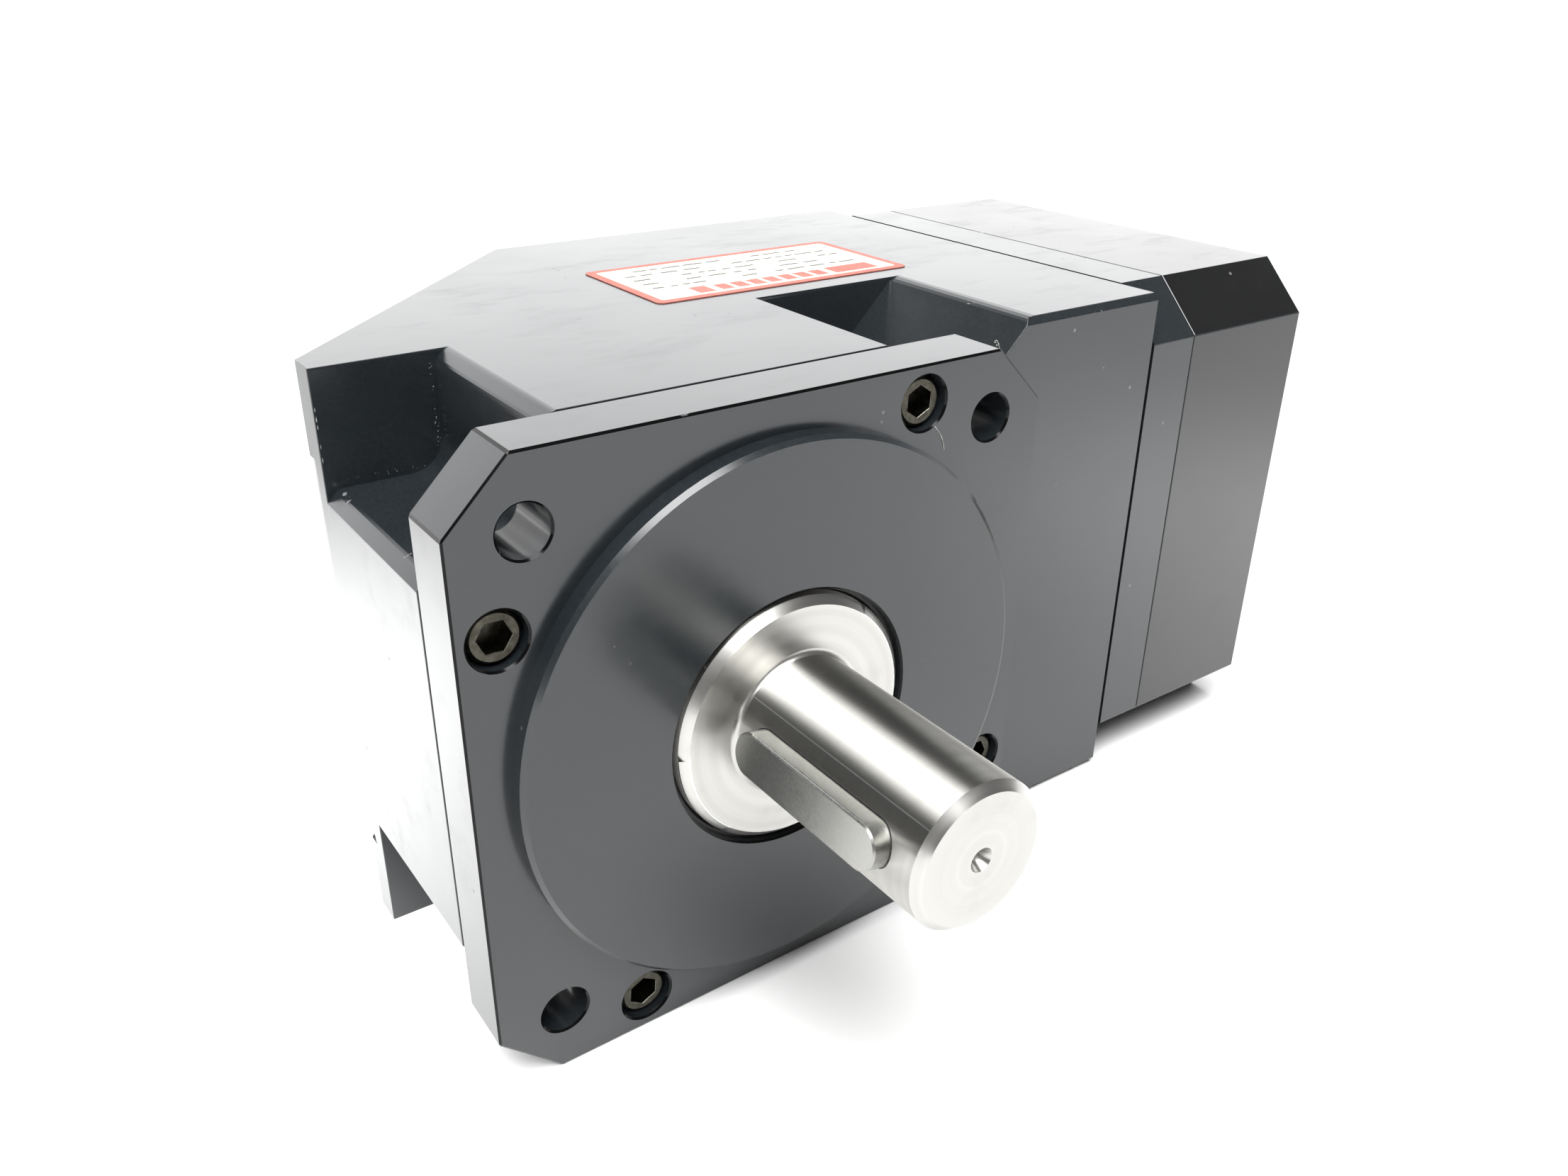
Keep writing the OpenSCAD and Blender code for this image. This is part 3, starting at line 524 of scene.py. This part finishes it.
def housing_share(a, b):
    """How much of the full rounding an edge of the housing takes: most at the lips of the recesses."""
    along = abs((b - a).normalized().y) > 0.99
    inside = max(a.y, b.y) < RECESS_REAR + 0.1 * MM and min(abs(a.z), abs(b.z)) > RECESS_EDGE
    if along and inside and a.x < 0.0:
        return LEFT_LIP
    if along and inside and abs(a.x - SLOPE_TOP) < 2 * MM:
        return RIGHT_LIP
    return PLAIN_EDGE


def mark_edges(name, piece):
    """Gives each outer edge its share of the rounding, as the edge weight that the bevel reads."""
    mesh = piece.data
    at, found = edge_faces(mesh)
    area = flat_areas(mesh, found)
    mesh.attributes.new("bevel_weight_edge", "FLOAT", "EDGE")
    if "sharp_edge" not in mesh.attributes:
        mesh.attributes.new("sharp_edge", "BOOLEAN", "EDGE")
    marks = mesh.attributes["bevel_weight_edge"].data
    sharp = mesh.attributes["sharp_edge"].data
    for edge in mesh.edges:
        a, b = (mesh.vertices[k].co for k in edge.vertices)
        faces = found[frozenset((at[edge.vertices[0]], at[edge.vertices[1]]))]
        if len(faces) != 2 or turn_angle(mesh, faces) < SHARP_ANGLE:
            continue
        sharp[edge.index].value = True
        small = min(area[k] for k in faces) < LEAST_FACE
        if is_outer(mesh, a, faces) and not small and not at_joint(a, b):
            marks[edge.index].value = housing_share(a, b) if name == "housing" else 1.0


def soften_edges():
    """Rounds the sharp edges of the nodes that show, on top of the CAD shape."""
    for name, (width, steps) in EDGES.items():
        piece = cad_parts[name]
        mark_edges(name, piece)
        weld = piece.modifiers.new("weld", "WELD")
        weld.merge_threshold = 0.001 * MM
        flats = piece.modifiers.new("flats", "DECIMATE")
        flats.decimate_type = "DISSOLVE"
        flats.angle_limit = FLAT_ANGLE
        bevel = piece.modifiers.new("bevel", "BEVEL")
        bevel.width = width
        bevel.segments = steps
        bevel.limit_method = "WEIGHT"
        bevel.use_clamp_overlap = False
        bevel.material = 1
        normals = piece.modifiers.new("normals", "WEIGHTED_NORMAL")
        normals.weight = 80
        normals.keep_sharp = True


# ---------------------------------------------------------------- label

LABEL_MARGIN = 1.5 * MM
TEXT_ROWS = 5
TEXT_FROM = 4.0  # millimetres from the label's left edge
TEXT_TO = 44.0


def add_piece(mesh, name, body, materials):
    """Makes a bmesh a new object that rides on a body."""
    data = bpy.data.meshes.new(name)
    mesh.to_mesh(data)
    mesh.free()
    for material in materials:
        data.materials.append(material)
    piece = bpy.data.objects.new(name, data)
    bpy.context.scene.collection.objects.link(piece)
    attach(piece, body)
    return piece


def rounded_outline(half_x, half_y, radius, steps=6):
    """Points around a rectangle with round corners."""
    points = []
    for corner in range(4):
        sx = 1 if corner in (0, 3) else -1
        sy = 1 if corner in (0, 1) else -1
        for step in range(steps + 1):
            a = math.radians(90 * corner + 90 * step / steps)
            points.append(
                (
                    sx * (half_x - radius) + radius * math.cos(a),
                    sy * (half_y - radius) + radius * math.sin(a),
                )
            )
    return points


def join_rings(mesh, one, other):
    """The faces between two closed rings with the same number of points."""
    count = len(one)
    return [
        mesh.faces.new((one[k], one[(k + 1) % count], other[(k + 1) % count], other[k]))
        for k in range(count)
    ]


def plate(mesh, centre, half_x, half_y, radius, bottom, top, material):
    """Adds one flat plate with round corners to a bmesh."""
    outline = rounded_outline(half_x, half_y, radius)
    rings = [
        [mesh.verts.new((centre.x + px, centre.y + py, level)) for px, py in outline]
        for level in (bottom, top)
    ]
    faces = [mesh.faces.new(rings[1]), mesh.faces.new(list(reversed(rings[0])))]
    faces += join_rings(mesh, *rings)
    for face in faces:
        face.material_index = material


def make_label():
    """The rating label: a red film, a cream field in it and plain bars where the print would be."""
    low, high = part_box("rating_label")
    centre = (low + high) / 2
    half_x, half_y = (high.x - low.x) / 2, (high.y - low.y) / 2
    film_top = high.z - 0.05 * MM
    field_top = high.z - 0.03 * MM
    ink_top = high.z - 0.015 * MM
    inner_x, inner_y = half_x - LABEL_MARGIN, half_y - LABEL_MARGIN
    mesh = bmesh.new()
    plate(mesh, centre, half_x, half_y, 1.2 * MM, low.z, film_top, 0)
    plate(mesh, centre, inner_x, inner_y, 0.6 * MM, film_top - 0.02 * MM, field_top, 1)

    def bar(x0, x1, y0, y1, material):
        """A bar by its distances from the label's left and near edges, in millimetres."""
        middle = Vector((low.x + (x0 + x1) / 2 * MM, low.y + (y0 + y1) / 2 * MM, 0.0))
        bar_x, bar_y = (x1 - x0) / 2 * MM, (y1 - y0) / 2 * MM
        plate(mesh, middle, bar_x, bar_y, 0.1 * MM, field_top - 0.01 * MM, ink_top, material)

    bar(9.0, 12.0, 2.4, 6.4, 0)
    bar(36.0, 45.0, 2.4, 6.4, 0)
    for k in range(7):
        bar(13.4 + 3.15 * k, 15.7 + 3.15 * k, 2.6, 6.0, 0)
    dice = random.Random(7)
    for row in range(TEXT_ROWS):
        near = 8.6 + 3.0 * row
        start = TEXT_FROM
        while start < TEXT_TO:
            length = dice.uniform(1.2, 4.2)
            if dice.random() < 0.62:
                bar(start, min(start + length, TEXT_TO + 2.0), near, near + 0.7, 2)
            start += length + dice.uniform(0.5, 1.6)
    inks = (
        printed_film("label_red", LABEL_RED, (0.42, 0.2, 0.16)),
        printed_film("label_cream", LABEL_CREAM, (0.5, 0.46, 0.38)),
        printed_film("label_grey", LABEL_GREY, (0.3, 0.3, 0.28)),
    )
    label = add_piece(mesh, "label_print", "gearbox_body", inks)
    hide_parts("rating_label")


# ---------------------------------------------------------------- dust, nicks and lint

RECESS_INNER = -28.6 * MM  # inner wall of the upper left recess
RECESS_FLOOR = 28.5 * MM
LEFT_EDGE = -44.75 * MM
GRAIN_BANDS = ((38.5, 43.5, 7), (31.5, 36.0, 9), (29.0, 38.0, 6))  # low and high in mm, and count
CORNER_SPOT = Vector((46.0, 10.35, 41.6)) * MM  # by the upper right recess


def fleck(mesh, place, half, dice):
    """Adds one small irregular grain with eight faces."""
    tips = []
    for axis in range(3):
        for sign in (1, -1):
            tip = place.copy()
            tip[axis] += sign * half[axis] * dice.uniform(0.6, 1.0)
            tips.append(mesh.verts.new(tip))
    for a in (0, 1):
        for b in (2, 3):
            for c in (4, 5):
                mesh.faces.new((tips[a], tips[b], tips[c]))


def scatter(mesh, dice, count, low, high, least, most):
    """Adds flat grains between two corners, against the rear wall of the recess."""
    for _ in range(count):
        place = Vector([dice.uniform(a, b) for a, b in zip(low, high)])
        size = dice.uniform(least, most)
        fleck(mesh, place, (size, 0.03 * MM, size * dice.uniform(0.8, 1.8)), dice)


def thread(mesh, points, radius, sides=6):
    """Adds a thin fibre along a line of points."""
    turns = [2 * math.pi * k / sides for k in range(sides)]
    around = [radius * Vector((math.cos(a), 0.3 * math.sin(a), math.sin(a))) for a in turns]
    rings = [[mesh.verts.new(point + offset) for offset in around] for point in points]
    for one, other in zip(rings, rings[1:]):
        join_rings(mesh, one, other)
    for end in (rings[0], rings[-1]):
        mesh.faces.new(end)


def finish_piece(mesh, name, material, body="gearbox_body"):
    """Turns a bmesh's faces outwards and makes it a piece of one material."""
    bmesh.ops.recalc_face_normals(mesh, faces=mesh.faces)
    piece = add_piece(mesh, name, body, [material])


def make_grains(dice, wall, material):
    """Grains in the corner of the upper left recess, along its floor, and by the upper right recess."""
    mesh = bmesh.new()
    for low, high, count in GRAIN_BANDS:
        near = (RECESS_INNER - 0.5 * MM, wall, low * MM)
        far = (RECESS_INNER + 0.1 * MM, wall, high * MM)
        scatter(mesh, dice, count, near, far, 0.03 * MM, 0.09 * MM)
    near = (LEFT_EDGE + 2 * MM, wall, RECESS_FLOOR + 0.3 * MM)
    far = (RECESS_INNER - 2 * MM, wall, RECESS_FLOOR + 0.9 * MM)
    scatter(mesh, dice, 16, near, far, 0.03 * MM, 0.08 * MM)
    for _ in range(5):
        spot = CORNER_SPOT + Vector([dice.uniform(-0.5, 0.5) * MM for _ in range(3)])
        fleck(mesh, spot, (0.2 * MM, 0.1 * MM, 0.16 * MM), dice)
    finish_piece(mesh, "dust", material)


def make_nicks(dice, wall, material):
    """Small bare spots down the outer edge of the upper left recess."""
    mesh = bmesh.new()
    for _ in range(6):
        x = LEFT_EDGE + dice.uniform(-0.05, 0.05) * MM
        place = Vector((x, wall, dice.uniform(30.0, 41.0) * MM))
        fleck(mesh, place, (0.04 * MM, 0.02 * MM, dice.uniform(0.2, 0.6) * MM), dice)
    finish_piece(mesh, "nicks", material)


def fibre(mesh, start, end, bow, waves, radius):
    """Adds a bent fibre between two places in millimetres."""
    start, end = Vector(start), Vector(end)
    steps = [k / 12 for k in range(13)]
    points = [(start.lerp(end, t) + math.sin(waves * t) * Vector(bow)) * MM for t in steps]
    thread(mesh, points, radius)


def make_lint(material):
    """Two fibres, on the flange and by the upper right recess."""
    mesh = bmesh.new()
    fibre(mesh, (24.9, -0.06, 36.1), (27.0, -0.06, 32.4), (0.35, 0.0, 0.0), 3.4, 0.05 * MM)
    fibre(mesh, (45.4, 10.35, 42.4), (47.0, 10.35, 40.6), (0.0, 0.0, 0.4), 5.0, 0.06 * MM)
    finish_piece(mesh, "lint", material)


def make_dust(materials):
    """The few specks, nicks and fibres that lie on the gearbox."""
    dice = random.Random(11)
    wall = RECESS_REAR - 0.03 * MM
    make_grains(dice, wall, materials["dust"])
    make_nicks(dice, wall, materials["bare"])
    make_lint(materials["dust"])


# ---------------------------------------------------------------- painted shade in the key's gap

KEY_ANGLE = math.radians(168.7)  # around the output axis, from +X towards +Z
KEY_WIDTH = 6.0 * MM
SHAFT_R = 10.0 * MM
GAP_WIDTH = 0.16 * MM
GAP_PROUD = 0.008 * MM  # how far its strip stands above the shaft's surface
GAP_DEPTH = 0.05 * MM
END_STEPS = 24


def key_outline(half, rise, middle, straight):
    """Points around the key at a distance from its long axis and a height above the shaft's surface."""
    outward = Vector((math.cos(KEY_ANGLE), 0.0, math.sin(KEY_ANGLE)))
    aside = Vector((-math.sin(KEY_ANGLE), 0.0, math.cos(KEY_ANGLE)))
    points = []
    for end in (1, -1):
        for k in range(END_STEPS + 1):
            a = math.pi * k / END_STEPS
            across, along = end * half * math.cos(a), end * (straight + half * math.sin(a))
            height = math.sqrt(SHAFT_R**2 - across**2) + rise
            points.append(outward * height + aside * across + Vector((0.0, middle + along, 0.0)))
    return points


def make_painted_key_shade(material):
    """A dark strip of painted shade along the gap where the key sits in the shaft, standing for the
    shadow in the gap.
    """
    low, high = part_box("output_key")
    middle, straight = (low.y + high.y) / 2, (high.y - low.y - KEY_WIDTH) / 2
    inner, outer = KEY_WIDTH / 2 - 0.01 * MM, KEY_WIDTH / 2 + GAP_WIDTH
    section = ((inner, -GAP_DEPTH), (inner, GAP_PROUD), (outer, GAP_PROUD), (outer, -GAP_DEPTH))
    mesh = bmesh.new()
    rings = [
        [mesh.verts.new(point) for point in key_outline(half, rise, middle, straight)]
        for half, rise in section
    ]
    for one, other in zip(rings, rings[1:] + rings[:1]):
        join_rings(mesh, one, other)
    finish_piece(mesh, "painted_key_shade", material, "output_shaft")


# ---------------------------------------------------------------- studio

FLOOR_RADIUS = 8.0
# where the paper is lit from below, beside the left side and at the right front: place, reach, strength
LIT_SPOTS = (
    (Vector((-0.088, 0.108, 0.0)), 0.15, 2.2),
    (Vector((0.21, -0.07, 0.0)), 0.13, 0.9),
)
FAR_FROM = 0.5
FAR_TO = 1.3
FAR_GLOW = 2.6  # keeps the far paper white
BACK_GLOW = 2.4
DIM_GLOW = 0.16
LAMP_AWAY = 1.2
LAMP_SIZE = 1.0
LAMP_WATTS = 40.0


def floor_glow(g):
    """The strength of the light from below: soft spots near the object, and all of the far paper."""

    def distance(place):
        made = g.tree.nodes.new("ShaderNodeVectorMath")
        made.operation = "DISTANCE"
        g.put(made.inputs[0], g.stretch((1.0, 1.0, 0.0)))
        made.inputs[1].default_value = place
        return made.outputs["Value"]

    away = distance(Vector((MIDDLE.x, MIDDLE.y, 0.0)))
    glow = g.span(away, FAR_FROM, FAR_TO, 0.0, FAR_GLOW, smooth=True)
    for place, reach, strength in LIT_SPOTS:
        glow = g.math("ADD", glow, g.span(distance(place), 0.0, reach, strength, 0.0, smooth=True))
    return glow


def make_floor():
    """A round sheet of pale paper."""
    mesh = bmesh.new()
    rim = []
    for k in range(72):
        a = math.radians(5 * k)
        x, y = MIDDLE.x + FLOOR_RADIUS * math.cos(a), MIDDLE.y + FLOOR_RADIUS * math.sin(a)
        rim.append(mesh.verts.new((x, y, FLOOR_Z)))
    mesh.faces.new(rim)
    data = bpy.data.meshes.new("floor")
    mesh.to_mesh(data)
    mesh.free()
    floor = bpy.data.objects.new("floor", data)
    bpy.context.scene.collection.objects.link(floor)
    g = Graph("floor_paper")
    tone = g.mix(g.noise(g.place, 60.0, 3.0), (0.8, 0.8, 0.8), (0.82, 0.82, 0.815))
    g.set(Base_Color=tone, Roughness=0.7)
    g.set(Emission_Color=(1.0, 1.0, 1.0), Emission_Strength=floor_glow(g))
    data.materials.append(g.material)


def world_fade(tree, direction, axis, low, high):
    """A share from 0 to 1 that grows as the direction turns towards an axis."""
    dot = tree.nodes.new("ShaderNodeVectorMath")
    dot.operation = "DOT_PRODUCT"
    tree.links.new(direction, dot.inputs[0])
    dot.inputs[1].default_value = Vector(axis).normalized()
    fade = tree.nodes.new("ShaderNodeMapRange")
    fade.interpolation_type = "SMOOTHSTEP"
    tree.links.new(dot.outputs["Value"], fade.inputs["Value"])
    fade.inputs["From Min"].default_value = low
    fade.inputs["From Max"].default_value = high
    return fade.outputs["Result"]


def world_math(tree, operation, a, b):
    """A sum or product of two numbers or outputs in the world's nodes."""
    made = tree.nodes.new("ShaderNodeMath")
    made.operation = operation
    for socket, value in zip(made.inputs, (a, b)):
        if isinstance(value, float):
            socket.default_value = value
        else:
            tree.links.new(value, socket)
    return made.outputs[0]


def make_surround():
    """Soft light from all around: a bright low band behind the object and a dim front."""
    world = bpy.data.worlds.new("surround")
    world.use_nodes = True
    tree = world.node_tree
    tree.nodes.clear()
    out = tree.nodes.new("ShaderNodeOutputWorld")
    sky = tree.nodes.new("ShaderNodeBackground")
    tree.links.new(sky.outputs[0], out.inputs[0])
    direction = tree.nodes.new("ShaderNodeTexCoord").outputs["Generated"]
    behind = world_fade(tree, direction, (0.5, 1.0, 0.0), 0.3, 0.72)
    low = world_fade(tree, direction, (0.0, 0.0, -1.0), -0.7, -0.42)
    band = world_math(tree, "MULTIPLY", world_math(tree, "MULTIPLY", behind, low), BACK_GLOW)
    tree.links.new(world_math(tree, "ADD", band, DIM_GLOW), sky.inputs["Strength"])
    sky.inputs["Color"].default_value = (1.0, 1.0, 1.0, 1.0)
    bpy.context.scene.world = world
    bpy.context.scene.view_settings.view_transform = "Standard"


def make_lamp():
    """One large soft box overhead, a little to the front, turned towards the object."""
    data = bpy.data.lights.new("overhead", "AREA")
    data.shape = "SQUARE"
    data.size = LAMP_SIZE
    data.energy = LAMP_WATTS
    lamp = bpy.data.objects.new("overhead", data)
    away = LAMP_AWAY * Vector((-0.2, -0.28, 0.94)).normalized()
    lamp.location = MIDDLE + away
    lamp.rotation_euler = away.to_track_quat("Z", "Y").to_euler()
    bpy.context.scene.collection.objects.link(lamp)


make_camera()
materials = make_materials()
paint_nodes(materials)
soften_edges()
make_label()
make_dust(materials)
# painted shade: the key's gap gets a dark strip in the black rubber material, standing above the shaft
# where the gap only holds shadow
make_painted_key_shade(materials["rubber"])
make_floor()
make_surround()
make_lamp()
